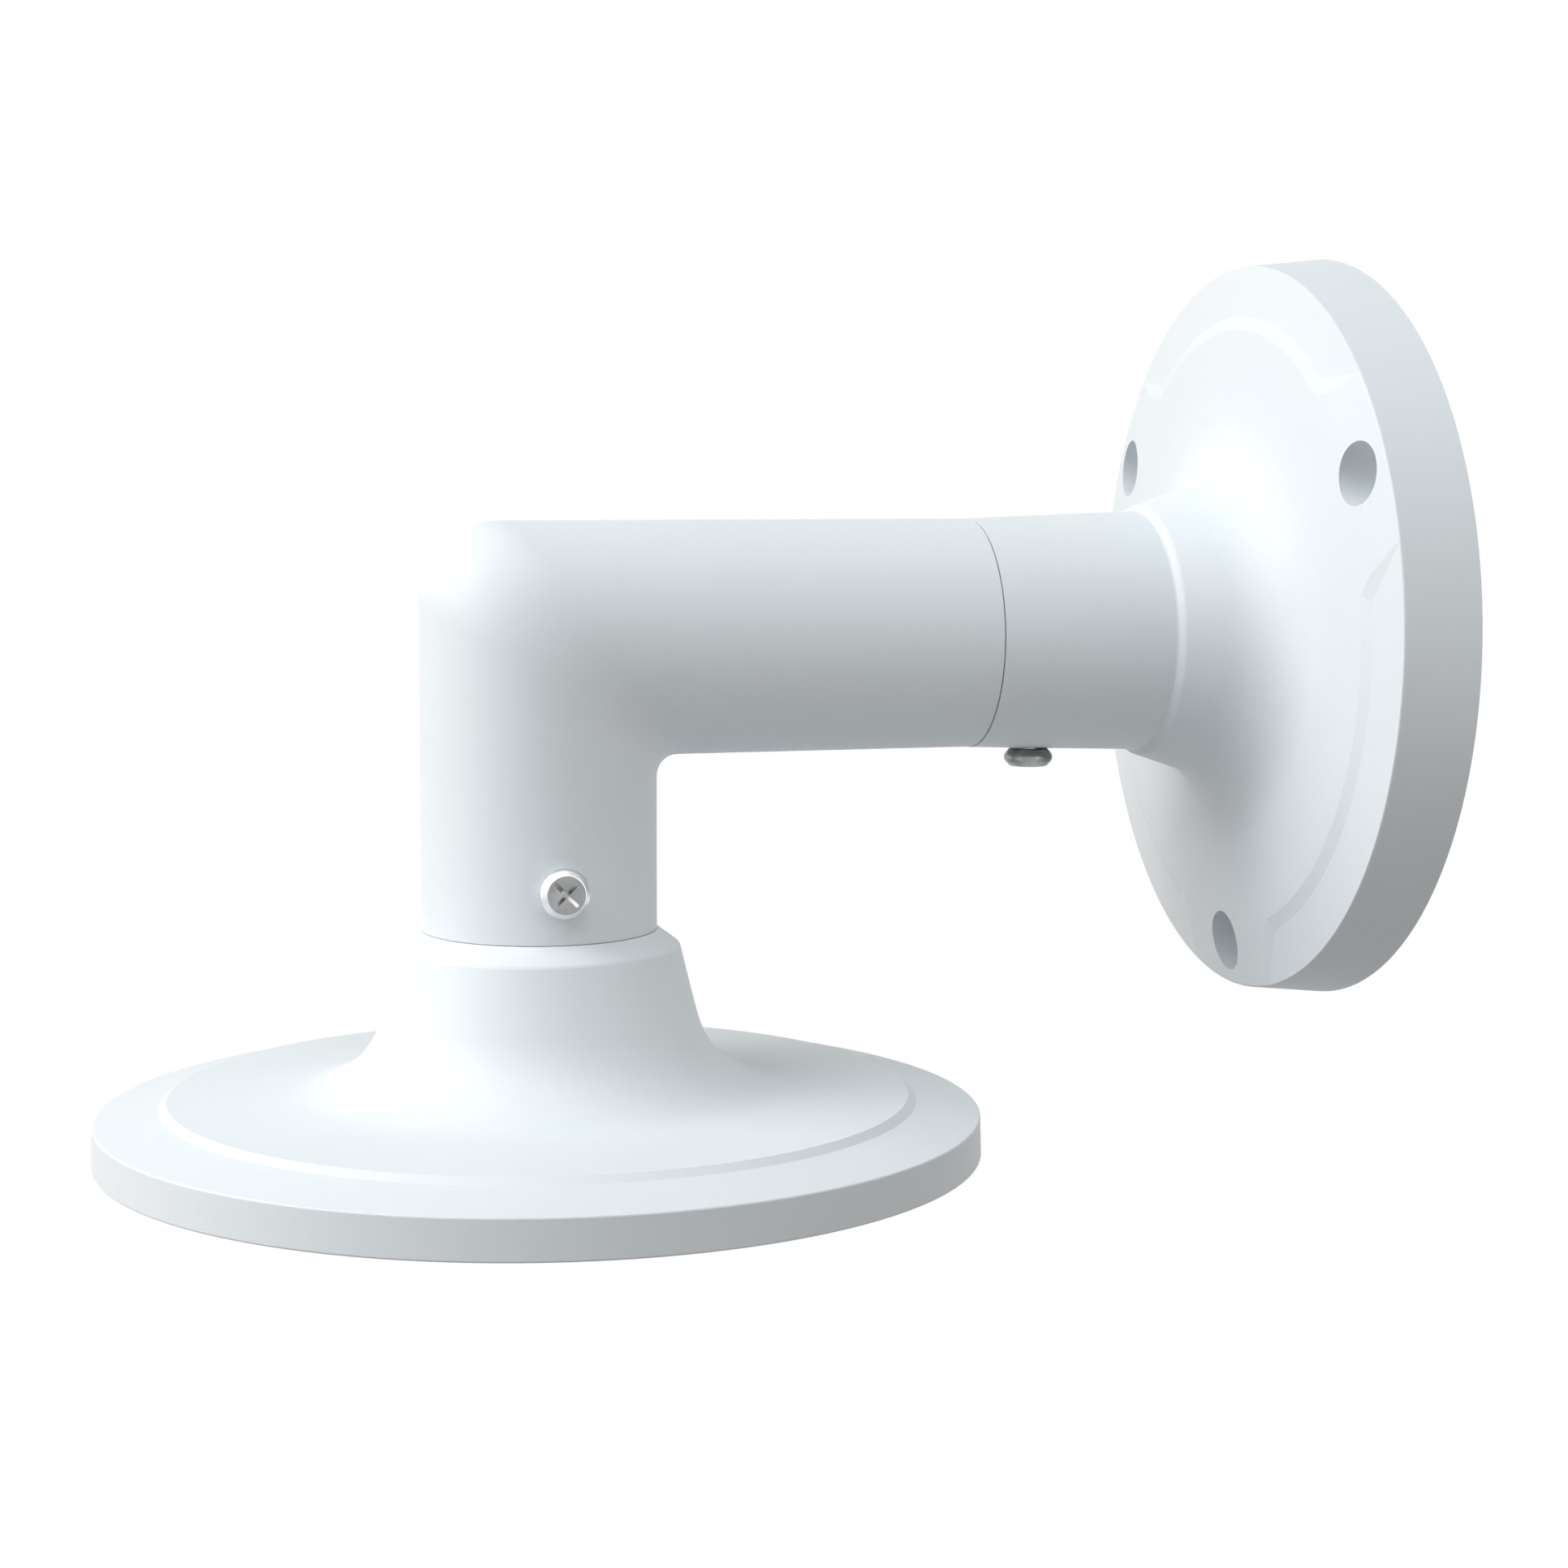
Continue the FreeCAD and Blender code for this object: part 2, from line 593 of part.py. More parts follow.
plateRibSketch = new_sketch(plate, "XZ_Plane", "plate_rib_outline")
outline(plateRibSketch, [
    ("plate_mouth_radius + trumpet_mouth_round - 0.5",
     "-(" + plateBottom + " - plate_rib_setback - plate_rib_height)"),
    ("plate_mouth_radius + trumpet_mouth_round + plate_rib_run_out",
     "-(" + plateBottom + " - plate_rib_setback)"),
    ("plate_radius - plate_rim_wall + 0.6", "-(" + plateBottom + " - plate_rib_setback)"),
    ("plate_radius - plate_rim_wall + 0.6",
     "-(" + plateBottom + " - plate_rib_setback - plate_rib_height)"),
])
plateRib = pad(plate, plateRibSketch, "plate_rib", "rib_thickness", True)
plateRibs = around(plate, [plateRib], "Z_Axis", 6, "plate_ribs")
cameraBossSketch = new_sketch(plate, "XY_Plane", "camera_boss_outline", sized("-(" + plateBottom + ")"))
circle(cameraBossSketch, "0", "camera_boss_circle", "camera_boss_radius")
cameraBoss = pad(plate, cameraBossSketch, "camera_boss", "plate_rib_height + plate_rib_setback")
cameraBosses = around(plate, [cameraBoss], "Z_Axis", 3, "camera_bosses")
cameraThreadSketch = new_sketch(plate, "XY_Plane", "camera_thread_outline",
                                sized("-(" + plateBottom + ")"))
circle(cameraThreadSketch, "0", "camera_boss_circle", "camera_thread_radius")
cameraThread = pocket(plate, cameraThreadSketch, "camera_thread", "camera_thread_depth", True)
cameraThreads = around(plate, [cameraThread], "Z_Axis", 3, "camera_threads")
legThreadSketch = new_sketch(plate, "YZ_Plane", "leg_thread_outline")
circle(legThreadSketch, "0", "-(leg_end_drop - leg_screw_rise)", "screw_radius + screw_thread_clearance")
legThread = pocket(plate, legThreadSketch, "leg_thread_hole", "tube_radius * 2", True)


def lock_screw(name, place):
    # Head standing on z = 0 with its shank below, and a cross cut in the flat face.
    screw = doc.addObject("PartDesign::Body", name)
    screw.setExpression("Placement", sized(place))
    profile = new_sketch(screw, "XZ_Plane", name + "_profile")
    outline(profile, [
        ("0", "-screw_length"),
        ("screw_radius - 0.4", "-screw_length"),
        ("screw_radius", "-(screw_length - 0.4)"),
        ("screw_radius", "0"),
        ("screw_head_radius", "0"),
        ("screw_head_radius", "screw_head_height"),
        ("0", "screw_head_height"),
    ])
    blank = turned(screw, profile, "PartDesign::Revolution", name + "_blank")
    topEdge = circle_edge(blank.Shape, alongZ, number("screw_head_radius"), number("screw_head_height"))
    top = rounded(screw, blank, topEdge, name + "_rim", "screw_head_round")
    underEdge = circle_edge(top.Shape, alongZ, number("screw_head_radius"), 0)
    rounded(screw, top, underEdge, name + "_under_rim", "screw_under_round")
    slotSketch = new_sketch(screw, "XZ_Plane", name + "_cross_outline")
    outline(slotSketch, [
        ("-cross_reach * 0.42", "screw_head_height - cross_depth"),
        ("cross_reach * 0.42", "screw_head_height - cross_depth"),
        ("cross_reach", "screw_head_height"),
        ("cross_reach", "screw_head_height + 0.5"),
        ("-cross_reach", "screw_head_height + 0.5"),
        ("-cross_reach", "screw_head_height"),
    ])
    slot = screw.newObject("PartDesign::Pocket", name + "_slot")
    slot.Profile = (slotSketch, [""])
    slot.Midplane = True
    slot.setExpression("Length", sized("cross_width"))
    doc.recompute()
    around(screw, [slot], "Z_Axis", 4, name + "_cross")
    return screw


stubRun = "(seam_height - seam_gap - collar_height - collar_chamfer)"
stubSlope = "(collar_radius - collar_chamfer - stub_end_radius) / " + stubRun
armSeat = "stub_end_radius + (arm_screw_setback + screw_head_radius - screw_under_round) * " + stubSlope
armScrewPlace = "placement(vector(0; -(seam_height - arm_screw_setback); -(" + armSeat + ")); "
armScrewPlace += "rotation(vector(1; 0; 0); 180) * rotation(vector(0; 0; 1); 20))"
armScrew = lock_screw("arm_lock_screw", armScrewPlace)
legScrewPlace = "placement(vector(tube_radius; -arm_reach; -(leg_end_drop - leg_screw_rise)); "
legScrewPlace += "rotation(vector(0; 1; 0); 90) * rotation(vector(0; 0; 1); 45))"
legScrew = lock_screw("leg_lock_screw", legScrewPlace)
doc.recompute()

pieces = [wallFlange, arm, plate, armScrew, legScrew]
for thing in doc.Objects:
    if "Invalid" in thing.State or "Error" in thing.State:
        raise ValueError("not built: " + thing.Name)
os.makedirs("parts", exist_ok=True)
for piece in pieces:
    piece.Label = piece.Name
    shape = piece.Shape
    if shape.isNull() or not shape.isValid() or len(shape.Solids) != 1:
        raise ValueError("bad solid: " + piece.Name)
    shape.exportStep("parts/" + piece.Name + ".step")
    print(piece.Name, round(shape.Volume), [round(v, 2) for v in (
        shape.BoundBox.XMin, shape.BoundBox.XMax, shape.BoundBox.YMin, shape.BoundBox.YMax,
        shape.BoundBox.ZMin, shape.BoundBox.ZMax)])
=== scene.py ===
import math

import bpy
from mathutils import Matrix, Vector


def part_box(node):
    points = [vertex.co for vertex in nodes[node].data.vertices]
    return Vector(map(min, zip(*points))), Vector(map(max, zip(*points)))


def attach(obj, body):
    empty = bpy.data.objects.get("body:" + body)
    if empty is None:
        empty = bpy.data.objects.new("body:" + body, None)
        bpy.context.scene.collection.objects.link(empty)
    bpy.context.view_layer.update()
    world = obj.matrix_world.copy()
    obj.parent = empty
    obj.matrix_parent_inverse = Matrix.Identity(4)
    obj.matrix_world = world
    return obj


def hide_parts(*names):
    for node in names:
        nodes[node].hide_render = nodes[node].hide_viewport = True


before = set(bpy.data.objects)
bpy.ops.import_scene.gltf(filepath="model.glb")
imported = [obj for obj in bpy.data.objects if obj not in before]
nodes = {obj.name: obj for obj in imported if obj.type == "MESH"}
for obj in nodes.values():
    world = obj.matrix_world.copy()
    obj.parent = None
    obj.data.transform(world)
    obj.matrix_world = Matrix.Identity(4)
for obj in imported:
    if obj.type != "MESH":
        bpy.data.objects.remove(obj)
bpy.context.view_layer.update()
print("frame loaded:", sorted(nodes))


# Shader maths written as Python expressions.
class Wire:
    def __init__(self, web, socket):
        self.web = web
        self.socket = socket

    def maths(self, operation, *others):
        sockets = dict(enumerate((self,) + others))
        return self.web.node("ShaderNodeMath", {"operation": operation}, sockets)

    def __add__(self, other):
        return self.maths("ADD", other)

    def __mul__(self, other):
        return self.maths("MULTIPLY", other)

    __radd__ = __add__
    __rmul__ = __mul__

    def __sub__(self, other):
        return self.maths("SUBTRACT", other)

    def __rsub__(self, other):
        return self * -1.0 + other

    def either(self, other):
        return self.maths("MAXIMUM", other)

    def between(self, low, high):
        # 0 at low, 1 at high and smooth on the way.
        sockets = {"Value": self, "From Min": low, "From Max": high}
        return self.web.node("ShaderNodeMapRange", {"interpolation_type": "SMOOTHSTEP"}, sockets)


def openSocket(sockets, key):
    if isinstance(key, int):
        return sockets[key]
    return [socket for socket in sockets if socket.enabled and socket.name == key][0]


class Web:
    # One node tree, of a material or of the world.
    def __init__(self, owner):
        owner.use_nodes = True
        self.owner = owner
        self.tree = owner.node_tree

    def feed(self, socket, value):
        if isinstance(value, Wire):
            self.tree.links.new(value.socket, socket)
        else:
            socket.default_value = value

    def node(self, kind, settings, sockets, result=0):
        made = self.tree.nodes.new(kind)
        for key, value in settings.items():
            setattr(made, key, value)
        for key, value in sockets.items():
            self.feed(openSocket(made.inputs, key), value)
        return Wire(self, openSocket(made.outputs, result))

    def place(self, centre=(0, 0, 0), turn=(0, 0, 0)):
        # Object coordinates, moved so that the pattern's own centre is at the origin.
        where = self.node("ShaderNodeTexCoord", {}, {}, "Object")
        return self.node("ShaderNodeMapping", {"vector_type": "TEXTURE"},
                         {"Vector": where, "Location": centre, "Rotation": turn})

    def noise(self, where, scale, detail=2.0, roughness=0.5):
        sockets = {"Vector": where, "Scale": scale, "Detail": detail, "Roughness": roughness}
        return self.node("ShaderNodeTexNoise", {}, sockets)

    def mix(self, share, first, second):
        return self.node("ShaderNodeMix", {"data_type": "RGBA"},
                         {"Factor": share, "A": first, "B": second}, "Result")

    def bump(self, height, distance, strength, under=None):
        sockets = {"Height": height, "Distance": distance, "Strength": strength}
        if under is not None:
            sockets["Normal"] = under
        return self.node("ShaderNodeBump", {}, sockets)

    def blend(self, share, first, second):
        return self.node("ShaderNodeMixShader", {}, {0: share, 1: first, 2: second})

    def lightPath(self, kind):
        return self.node("ShaderNodeLightPath", {}, {}, kind)

    def surface(self, sockets):
        # Fills in the material's own surface shader and hands back its output.
        shader = self.tree.nodes["Principled BSDF"]
        for key, value in sockets.items():
            self.feed(shader.inputs[key], value)
        return Wire(self, shader.outputs[0])


# White powder coat: satin and slightly cool, a fine grain over orange peel, with faint clouds.
coat = {
    "colour": (0.83, 0.865, 0.885, 1),
    "warmColour": (0.80, 0.83, 0.845, 1),
    "roughness": 0.44,
    "grainRoughness": 0.10,
    "cloudRoughness": 0.06,
    "specular": 0.35,
    "cloudsPerMetre": 18,
    "cloudShare": 0.6,
    "grainPerMetre": 2600,
    "grainShare": 0.3,
    "grainDepth": 0.000035,
    "peelPerMetre": 420,
    "peelDepth": 0.00006,
}


def powderCoat(name, shift):
    web = Web(bpy.data.materials.new(name))
    where = web.place(shift)
    clouds = web.noise(where, coat["cloudsPerMetre"], detail=3, roughness=0.55)
    peel = web.noise(where, coat["peelPerMetre"], detail=2, roughness=0.5)
    grain = web.noise(where, coat["grainPerMetre"], detail=3, roughness=0.6)
    cloudTone = clouds.between(0.35, 0.7) * coat["cloudShare"]
    grainTone = grain.between(0.3, 0.7) * coat["grainShare"]
    uneven = grain * coat["grainRoughness"] + clouds * coat["cloudRoughness"]
    peelNormal = web.bump(peel, coat["peelDepth"], strength=0.5)
    web.surface({
        "Base Color": web.mix(cloudTone + grainTone, coat["colour"], coat["warmColour"]),
        "Roughness": uneven + coat["roughness"],
        "Specular IOR Level": coat["specular"],
        "Normal": web.bump(grain, coat["grainDepth"], strength=0.6, under=peelNormal),
    })
    return web.owner


coatOf = {
    "wall_flange": (0, 0, 0),
    "elbow_arm": (0.31, 0.12, 0.05),
    "camera_plate": (0.07, 0.44, 0.23),
}
for name, shift in coatOf.items():
    material = powderCoat(name + "_coat", shift)
    for index in range(len(nodes[name].material_slots)):
        nodes[name].material_slots[index].material = material
print("powder coat laid on", len(coatOf), "castings")


# Edit-mode helpers. The slacks and the normal only tell rings, corners and level faces apart.
heightSlack = 1e-5
radiusSlack = 2e-5
cornerSlack = 1e-6
levelNormal = 0.999
weldDistance = 2e-6


def startAlone(thing=None):
    bpy.ops.object.select_all(action="DESELECT")
    if thing is not None:
        thing.select_set(True)
        bpy.context.view_layer.objects.active = thing


def pick(thing, kind, wanted):
    # Leaves edit mode open with just the elements that pass the test selected.
    bpy.ops.object.mode_set(mode="EDIT")
    bpy.ops.mesh.select_mode(type=kind)
    bpy.ops.mesh.select_all(action="DESELECT")
    bpy.ops.object.mode_set(mode="OBJECT")
    mesh = thing.data
    elements = {"VERT": mesh.vertices, "EDGE": mesh.edges, "FACE": mesh.polygons}[kind]
    for element in elements:
        element.select = wanted(element)
    bpy.ops.object.mode_set(mode="EDIT")


def ringEdges(thing, height, radius):
    # A test for the edges of one ring round the Z axis.
    points = thing.data.vertices

    def onRing(index):
        place = points[index].co
        near = abs(place.z - height) < heightSlack
        return near and abs(place.xy.length - radius) < radiusSlack

    return lambda edge: all(onRing(index) for index in edge.vertices)


def applied(thing, kind, **settings):
    startAlone(thing)
    modifier = thing.modifiers.new(kind.lower(), kind)
    for key, value in settings.items():
        setattr(modifier, key, value)
    bpy.ops.object.modifier_apply(modifier=modifier.name)


def joinedBy(thing, tool, operation):
    applied(thing, "BOOLEAN", operation=operation, solver="EXACT", object=tool)
    bpy.data.objects.remove(tool)


def closed(thing):
    startAlone(thing)
    bpy.ops.object.mode_set(mode="EDIT")
    bpy.ops.mesh.select_all(action="SELECT")
    bpy.ops.mesh.remove_doubles(threshold=weldDistance)
    bpy.ops.mesh.normals_make_consistent(inside=False)
    bpy.ops.object.mode_set(mode="OBJECT")


def copied(thing, name, place):
    piece = bpy.data.objects.new(name, thing.data.copy())
    bpy.context.scene.collection.objects.link(piece)
    startAlone(piece)
    piece.matrix_world = place
    bpy.ops.object.transform_apply(location=True, rotation=True, scale=True)
    return piece


def threadRidge(baseRadius, crestRadius, size):
    # A three-sided ridge wound round the Z axis, rising from z = 0, with its ends closed.
    startAlone()
    bpy.ops.mesh.primitive_circle_add(vertices=3, radius=1, rotation=(math.pi / 2, 0, 0))
    ridge = bpy.context.object
    bpy.ops.object.transform_apply(rotation=True)
    bpy.ops.object.mode_set(mode="EDIT")
    bpy.ops.mesh.select_all(action="SELECT")
    quarter = math.pi / 2 if crestRadius > baseRadius else -math.pi / 2
    bpy.ops.transform.rotate(value=quarter, orient_axis="Y", center_override=(0, 0, 0))
    # The triangle so far is 1.5 deep and the root of 3 wide, round its own middle.
    deep = abs(crestRadius - baseRadius) / 1.5
    wide = size["ridgeWidth"] / math.sqrt(3)
    middle = (baseRadius * 2 + crestRadius) / 3
    bpy.ops.transform.resize(value=(deep, 1, wide), center_override=(0, 0, 0))
    bpy.ops.transform.translate(value=(middle, 0, 0))
    bpy.ops.object.mode_set(mode="OBJECT")
    applied(ridge, "SCREW", axis="Z", screw_offset=size["pitch"], iterations=size["turns"],
            steps=size["stepsPerTurn"], render_steps=size["stepsPerTurn"])
    bpy.ops.object.mode_set(mode="EDIT")
    bpy.ops.mesh.select_all(action="SELECT")
    bpy.ops.mesh.fill_holes(sides=3)
    bpy.ops.object.mode_set(mode="OBJECT")
    closed(ridge)
    return ridge


# Lock screw: a cross-recessed barrel head on an M4 shank, the same at both joints. It is made
# with its head up and its seat at z = 0.
lockScrew = {
    "headHeight": 0.00265,
    "seatRadius": 0.00292,
    "bulgeRadius": 0.00404,
    "bulgeHeight": 0.00136,
    "bulgeRound": 0.0009,
    "faceRadius": 0.00284,
    "faceRound": 0.00012,
    "seatRound": 0.00012,
    "faceBorder": 0.00010,
    "coreRadius": 0.00168,
    "threadRadius": 0.0020,
    "length": 0.0060,
    "tipBreak": 0.0004,
    "crossReach": 0.0024,
    "crossWidth": 0.00056,
    "crossDepth": 0.00145,
    "crossFloorReach": 0.0006,
    "cutterProud": 0.0004,
    "mouthBreak": 0.00007,
    "around": 96,
    "smoothAngle": 35,
    "threadSink": 0.0001,
    "thread": {"pitch": 0.0007, "ridgeWidth": 0.0006, "turns": 7, "stepsPerTurn": 32},
    "crossTurn": {"arm": 20, "leg": 45},
}


def screwBlank(size):
    startAlone()
    bpy.ops.mesh.primitive_circle_add(vertices=size["around"], radius=size["coreRadius"],
                                      fill_type="NGON", location=(0, 0, -size["length"]))
    blank = bpy.context.object
    bpy.ops.object.transform_apply(location=True)
    bpy.ops.object.mode_set(mode="EDIT")
    radius, height = size["coreRadius"], -size["length"]
    outline = ((radius, 0), (size["seatRadius"], 0), (size["bulgeRadius"], size["bulgeHeight"]),
               (size["faceRadius"], size["headHeight"]))
    for nextRadius, nextHeight in outline:
        rise = (0, 0, nextHeight - height)
        bpy.ops.mesh.extrude_region_move(TRANSFORM_OT_translate={"value": rise})
        grow = nextRadius / radius
        bpy.ops.transform.resize(value=(grow, grow, 1), center_override=(0, 0, 0))
        radius, height = nextRadius, nextHeight
    bpy.ops.object.mode_set(mode="OBJECT")
    # Each ring's place, how much is rounded off it and in how many steps.
    for height, radius, amount, steps in (
            (size["bulgeHeight"], size["bulgeRadius"], size["bulgeRound"], 16),
            (size["headHeight"], size["faceRadius"], size["faceRound"], 4),
            (0, size["seatRadius"], size["seatRound"], 2),
            (-size["length"], size["coreRadius"], size["tipBreak"], 1)):
        pick(blank, "EDGE", ringEdges(blank, height, radius))
        bpy.ops.mesh.bevel(offset=amount, segments=steps, profile=0.5)
        bpy.ops.object.mode_set(mode="OBJECT")
    # A narrow border keeps the flat face and tip flat in the smooth shading.
    pick(blank, "FACE", lambda face: len(face.vertices) > 4)
    bpy.ops.mesh.inset(thickness=size["faceBorder"])
    bpy.ops.object.mode_set(mode="OBJECT")
    return blank


def crossCutter(size):
    # Four tapering arms round a square core, standing proud of the face so that they cut clean.
    startAlone()
    proud = size["cutterProud"]
    tall = size["crossDepth"] + proud
    low = size["headHeight"] - size["crossDepth"]
    high = size["headHeight"] + proud
    half = size["crossWidth"] / 2
    bpy.ops.mesh.primitive_cube_add(size=1, location=(0, 0, high - tall / 2))
    cutter = bpy.context.object
    cutter.scale = (size["crossWidth"], size["crossWidth"], tall)
    bpy.ops.object.transform_apply(location=True, scale=True)
    # The floor of each arm rises outwards, and reaches the face at the arm's end.
    run = size["crossReach"] - size["crossFloorReach"]
    moves = ((low, -run), (high, run * proud / size["crossDepth"]))
    for way in (Vector((1, 0, 0)), Vector((0, 1, 0)), Vector((-1, 0, 0)), Vector((0, -1, 0))):
        pick(cutter, "FACE", lambda face: (face.center - way * half).xy.length < cornerSlack)
        outwards = way * (size["crossReach"] - half)
        bpy.ops.mesh.extrude_region_move(TRANSFORM_OT_translate={"value": outwards})
        bpy.ops.object.mode_set(mode="OBJECT")
        for height, move in moves:
            pick(cutter, "VERT", lambda point: abs(point.co.z - height) < cornerSlack
                 and point.co.dot(way) > size["crossReach"] - cornerSlack)
            bpy.ops.transform.translate(value=way * move)
            bpy.ops.object.mode_set(mode="OBJECT")
    return cutter


def breakMouth(blank, size):
    # A tiny break runs round the mouth of the recess, and none round the face's own border.
    level = size["headHeight"] - cornerSlack
    pick(blank, "FACE", lambda face: face.normal.z > levelNormal and face.center.z > level)
    bpy.ops.mesh.region_to_loop()
    bpy.ops.object.mode_set(mode="OBJECT")
    points = blank.data.vertices
    inside = size["faceRadius"] - size["faceRound"] - size["faceBorder"] * 1.5
    mouth = {edge.index for edge in blank.data.edges if edge.select
             and all(points[index].co.xy.length < inside for index in edge.vertices)}
    pick(blank, "EDGE", lambda edge: edge.index in mouth)
    bpy.ops.mesh.bevel(offset=size["mouthBreak"], segments=2, profile=0.5)
    bpy.ops.object.mode_set(mode="OBJECT")


def lockScrewMesh(size):
    blank = screwBlank(size)
    joinedBy(blank, crossCutter(size), "DIFFERENCE")
    breakMouth(blank, size)
    thread = size["thread"]
    ridge = threadRidge(size["coreRadius"] - size["threadSink"], size["threadRadius"], thread)
    ridge.location = (0, 0, -size["length"] + size["tipBreak"] + thread["ridgeWidth"] / 2)
    joinedBy(blank, ridge, "UNION")
    closed(blank)
    # Faces with many corners are split here, so that no two of them get the same diagonal later.
    pick(blank, "FACE", lambda face: len(face.vertices) > 4)
    bpy.ops.mesh.quads_convert_to_tris(ngon_method="BEAUTY")
    bpy.ops.object.mode_set(mode="OBJECT")
    startAlone(blank)
    bpy.ops.object.shade_smooth_by_angle(angle=math.radians(size["smoothAngle"]))
    return blank


# Plated steel of the lock screws: a turned face, whose dull tone is partly the steel's own and
# partly painted shade, inside a rim painted in its own tones, and a recess between the two. On the
# leg's screw the rim is painted bright, a painted highlight. The arm's screw hangs in the shade, so
# its rim has its own darker pair of tones, a painted shade.
steel = {
    "faceColour": (0.33, 0.335, 0.335, 1),
    "faceDullColour": (0.26, 0.262, 0.26, 1),
    "crossColour": (0.50, 0.505, 0.51, 1),
    # The rim's tones are painted light: a painted highlight on the leg's screw, painted shade on
    # the arm's.
    "rimLightAndShadeColour": {"leg": (0.80, 0.81, 0.82, 1), "arm": (0.42, 0.43, 0.43, 1)},
    "rimLightAndShadeDullColour": {"leg": (0.66, 0.67, 0.68, 1), "arm": (0.23, 0.233, 0.226, 1)},
    "faceRoughness": 0.32,
    "rimRoughness": 0.27,
    "grainRoughness": 0.10,
    "ringsPerMetre": 900.0,
    "ringShare": 0.2,
    "spotsPerMetre": 420,
    "spotShare": 0.7,
    "grainPerMetre": 3000,
    "scratchDepth": 0.00001,
    "rimFade": 0.00014,
    "crossFadeTop": 0.00005,
    "crossFadeEnd": 0.00025,
}


def platedSteel(screw, centre, turn):
    web = Web(bpy.data.materials.new(screw + "_screw_plating"))
    where = web.place(centre, turn)
    rings = web.node("ShaderNodeTexWave", {"wave_type": "RINGS", "rings_direction": "Z"},
                     {"Vector": where, "Scale": steel["ringsPerMetre"], "Distortion": 1.5,
                      "Detail": 2.0}, "Fac")
    grain = web.noise(where, steel["grainPerMetre"], detail=2, roughness=0.6)
    spots = web.noise(where, steel["spotsPerMetre"], detail=3, roughness=0.6)
    tone = spots.between(0.35, 0.7) * steel["spotShare"] + rings * steel["ringShare"]
    across = web.node("ShaderNodeVectorMath", {"operation": "MULTIPLY"}, {0: where, 1: (1, 1, 0)})
    outward = web.node("ShaderNodeVectorMath", {"operation": "LENGTH"}, {"Vector": across}, "Value")
    height = web.node("ShaderNodeSeparateXYZ", {}, {"Vector": where}, "Z")
    edge, top = lockScrew["faceRadius"], lockScrew["headHeight"]
    rim = outward.between(edge - steel["rimFade"], edge)
    sunk = 1 - height.between(top - steel["crossFadeEnd"], top - steel["crossFadeTop"])
    face = web.mix(tone, steel["faceColour"], steel["faceDullColour"])
    # The rim's colour is painted light: a painted highlight on the leg's screw, painted shade on
    # the arm's.
    rimPaintedLight = web.mix(tone, steel["rimLightAndShadeColour"][screw], steel["rimLightAndShadeDullColour"][screw])
    rimRoughness = rim * (steel["rimRoughness"] - steel["faceRoughness"]) + steel["faceRoughness"]
    web.surface({
        "Base Color": web.mix(rim, web.mix(sunk, face, steel["crossColour"]), rimPaintedLight),
        "Metallic": 1.0,
        "Roughness": grain * steel["grainRoughness"] + rimRoughness,
        "Normal": web.bump(rings * 0.5 + grain * 0.5, steel["scratchDepth"], strength=0.5),
    })
    return web.owner


# Each screw takes its axis and its shank's tip from its CAD node, and so its seat.
armLow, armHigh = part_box("arm_lock_screw")
legLow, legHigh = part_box("leg_lock_screw")
armSeat = (0, (armLow[1] + armHigh[1]) / 2, armHigh[2] - lockScrew["length"])
legMiddle = (Vector(legLow) + Vector(legHigh)) / 2
legSeat = (legLow[0] + lockScrew["length"], legMiddle.y, legMiddle.z)
screwPlaces = {
    "arm": (armSeat, Matrix.Rotation(math.pi, 4, "X")),
    "leg": (legSeat, Matrix.Rotation(math.pi / 2, 4, "Y")),
}
firstScrew = lockScrewMesh(lockScrew)
for name, (seat, facing) in screwPlaces.items():
    turned = facing @ Matrix.Rotation(math.radians(lockScrew["crossTurn"][name]), 4, "Z")
    screw = copied(firstScrew, name + "_cross_screw", Matrix.Translation(seat) @ turned)
    screw.data.materials.append(platedSteel(name, seat, turned.to_euler()))
    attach(screw, "root")
    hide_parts(name + "_lock_screw")
bpy.data.objects.remove(firstScrew)
print("two lock screws turned, cut and threaded")

# Threads of the three tapped holes under the camera plate.
tappedHole = {
    "count": 3,
    "circle": 0.040,
    "firstAngle": 90,
    "fromMouth": 0.0005,
    "wallRadius": 0.00172,
    "crestRadius": 0.0015,
    "coatShift": (0.21, 0.33, 0.09),
    "thread": {"pitch": 0.0007, "ridgeWidth": 0.0006, "turns": 7, "stepsPerTurn": 24},
}
plateLow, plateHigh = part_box("camera_plate")
firstThread = threadRidge(tappedHole["wallRadius"], tappedHole["crestRadius"], tappedHole["thread"])
threadCoat = powderCoat("thread_coat", tappedHole["coatShift"])
for number in range(tappedHole["count"]):
    around = math.radians(tappedHole["firstAngle"] + 360 / tappedHole["count"] * number)
    place = (tappedHole["circle"] * math.cos(around),
             (plateLow[1] + plateHigh[1]) / 2 + tappedHole["circle"] * math.sin(around),
             plateLow[2] + tappedHole["fromMouth"])
    thread = copied(firstThread, "camera_hole_thread_" + str(number + 1), Matrix.Translation(place))
    thread.data.materials.append(threadCoat)
    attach(thread, "root")
bpy.data.objects.remove(firstThread)
print("threads wound in the camera plate's tapped holes")

# Camera at the photograph's angle: azimuth 0 looks along +Y and 90 along -X.
camera = {
    "place": (0.439597, -0.208475, 0.028405),
    "azimuth": 74.2620,
    "rise": 6.3316,
    "roll": 0.1687,
    "lens": 70.425,
    "sensor": 36,
    "nearest": 0.01,
    "farthest": 500,
}


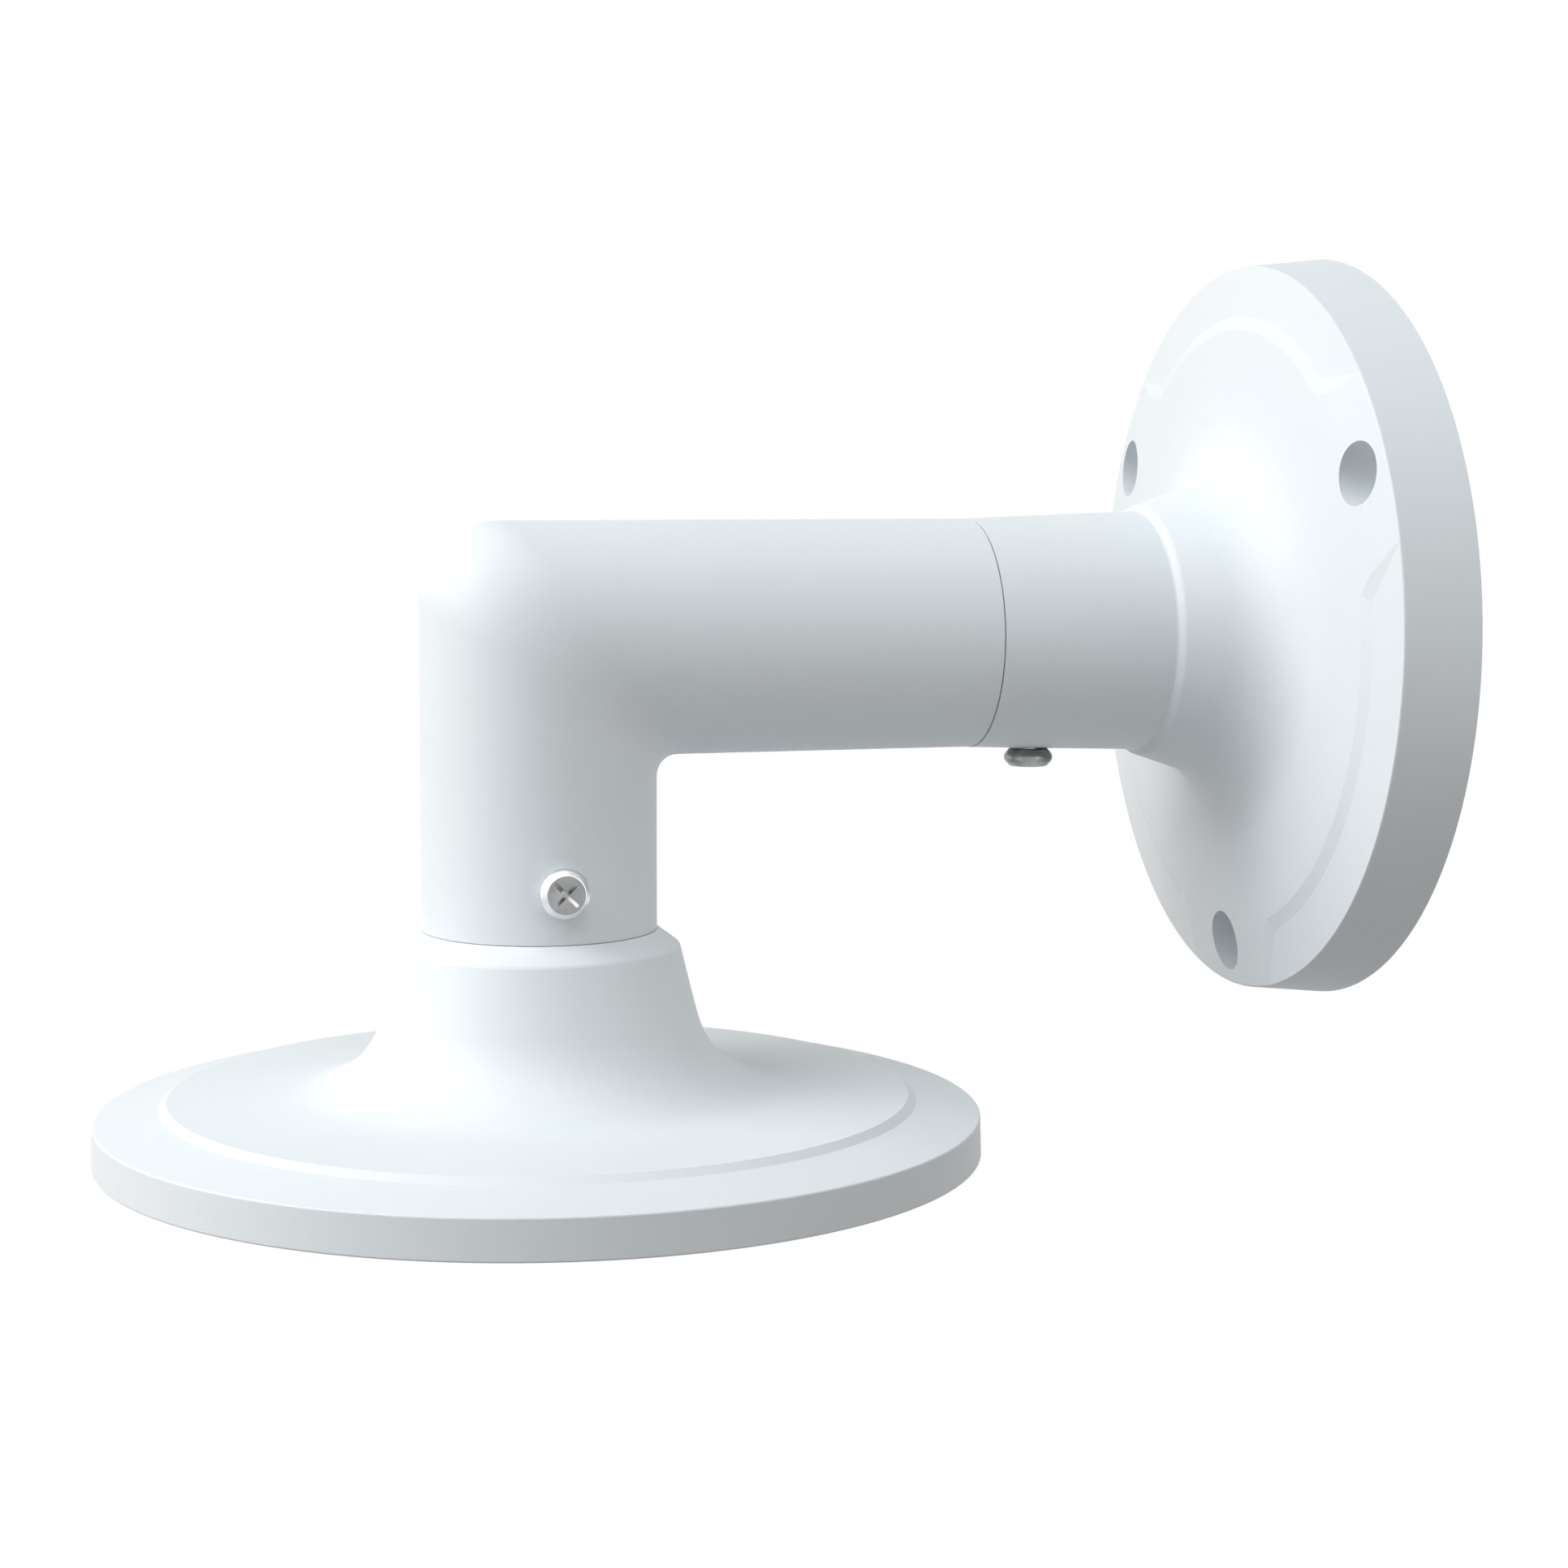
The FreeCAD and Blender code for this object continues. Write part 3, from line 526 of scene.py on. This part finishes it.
def addCamera():
    lens = bpy.data.cameras.new("studio_camera")
    lens.lens = camera["lens"]
    lens.sensor_width = camera["sensor"]
    lens.clip_start = camera["nearest"]
    lens.clip_end = camera["farthest"]
    made = bpy.data.objects.new("studio_camera", lens)
    bpy.context.scene.collection.objects.link(made)
    facing = Matrix.Rotation(math.radians(camera["azimuth"]), 4, "Z")
    tilt = Matrix.Rotation(math.radians(90 - camera["rise"]), 4, "X")
    roll = Matrix.Rotation(math.radians(camera["roll"]), 4, "Z")
    made.matrix_world = Matrix.Translation(camera["place"]) @ facing @ tilt @ roll
    bpy.context.scene.camera = made


# Pale floor well below the bracket, in a white world. Seen from below the floor lets the view
# through.
studio = {
    "floorHeight": -1.2,
    "floorSize": 400,
    "paper": (0.86, 0.87, 0.88, 1),
    "paperShade": (0.82, 0.83, 0.84, 1),
    "paperRoughness": 0.9,
    "fibresPerMetre": 40,
    "floorGlow": 0.86,
    "glowNear": 0.8,
    "glowFar": 3.0,
    "white": (1, 1, 1, 1),
    "fill": 0.16,
}


def floorPaper():
    # The paper keeps the shadow. To the camera it glows too, more with the distance.
    web = Web(bpy.data.materials.new("studio_floor"))
    where = web.place()
    fibres = web.noise(where, studio["fibresPerMetre"], detail=3, roughness=0.5)
    paper = web.surface({
        "Base Color": web.mix(fibres, studio["paper"], studio["paperShade"]),
        "Roughness": studio["paperRoughness"],
    })
    away = web.node("ShaderNodeVectorMath", {"operation": "LENGTH"}, {"Vector": where}, "Value")
    seen = web.lightPath("Is Camera Ray").either(web.lightPath("Is Glossy Ray"))
    far = away.between(studio["glowNear"], studio["glowFar"])
    glow = far * (1 - studio["floorGlow"]) + studio["floorGlow"]
    white = web.node("ShaderNodeEmission", {}, {"Color": studio["white"], "Strength": 1.0})
    clear = web.node("ShaderNodeBsdfTransparent", {}, {})
    under = web.node("ShaderNodeNewGeometry", {}, {}, "Backfacing")
    pale = web.blend(seen * glow, paper, white)
    web.feed(web.tree.nodes["Material Output"].inputs["Surface"], web.blend(under, pale, clear))
    return web.owner


def addFloor():
    startAlone()
    bpy.ops.mesh.primitive_plane_add(size=studio["floorSize"],
                                     location=(0, 0, studio["floorHeight"]))
    floor = bpy.context.object
    floor.name = "studio_floor"
    floor.data.materials.append(floorPaper())


def addWorld():
    # White where it is seen, and a plain fill elsewhere.
    world = bpy.data.worlds.new("studio_world")
    bpy.context.scene.world = world
    web = Web(world)
    fill = web.node("ShaderNodeBackground", {},
                    {"Color": studio["white"], "Strength": studio["fill"]})
    backdrop = web.node("ShaderNodeBackground", {}, {"Color": studio["white"], "Strength": 1.0})
    seen = web.lightPath("Is Camera Ray").either(web.lightPath("Is Glossy Ray"))
    seen = seen.either(web.lightPath("Is Transmission Ray"))
    web.feed(web.tree.nodes["World Output"].inputs["Surface"], web.blend(seen, fill, backdrop))


# Soft lamps: azimuth 0 stands out along -Y from the bracket, 90 out along +X.
lamps = {
    "key_lamp": {"azimuth": -10, "rise": 35, "power": 6.1, "colour": (0.98, 1.0, 0.957)},
    "front_lamp": {"azimuth": 20, "rise": 35, "power": 5.76, "colour": (0.90, 0.94, 1.0)},
    "top_lamp": {"azimuth": 85, "rise": 62, "power": 3.0, "colour": (0.85, 0.96, 1.0)},
    "wall_lamp": {"azimuth": 130, "rise": 8, "power": 2.04, "colour": (1.0, 0.94, 0.88)},
    "low_lamp": {"azimuth": -10, "rise": 8, "power": 1.9, "colour": (1.0, 0.85, 0.81)},
}
lampSize = 0.8
lampDistance = 1.1
lampTarget = (0, -0.09, -0.01)


def addLamp(name, lamp):
    light = bpy.data.lights.new(name, "AREA")
    light.shape = "DISK"
    light.size = lampSize
    light.energy = lamp["power"]
    light.color = lamp["colour"]
    around, rise = math.radians(lamp["azimuth"]), math.radians(lamp["rise"])
    level = Vector((math.sin(around), -math.cos(around), 0))
    way = level * math.cos(rise) + Vector((0, 0, math.sin(rise)))
    made = bpy.data.objects.new(name, light)
    bpy.context.scene.collection.objects.link(made)
    made.location = Vector(lampTarget) + way * lampDistance
    made.rotation_euler = (-way).to_track_quat("-Z", "Y").to_euler()


addCamera()
addFloor()
addWorld()
for name, lamp in lamps.items():
    addLamp(name, lamp)
bpy.context.scene.view_settings.view_transform = "Standard"
print("stage, camera and lamps made")
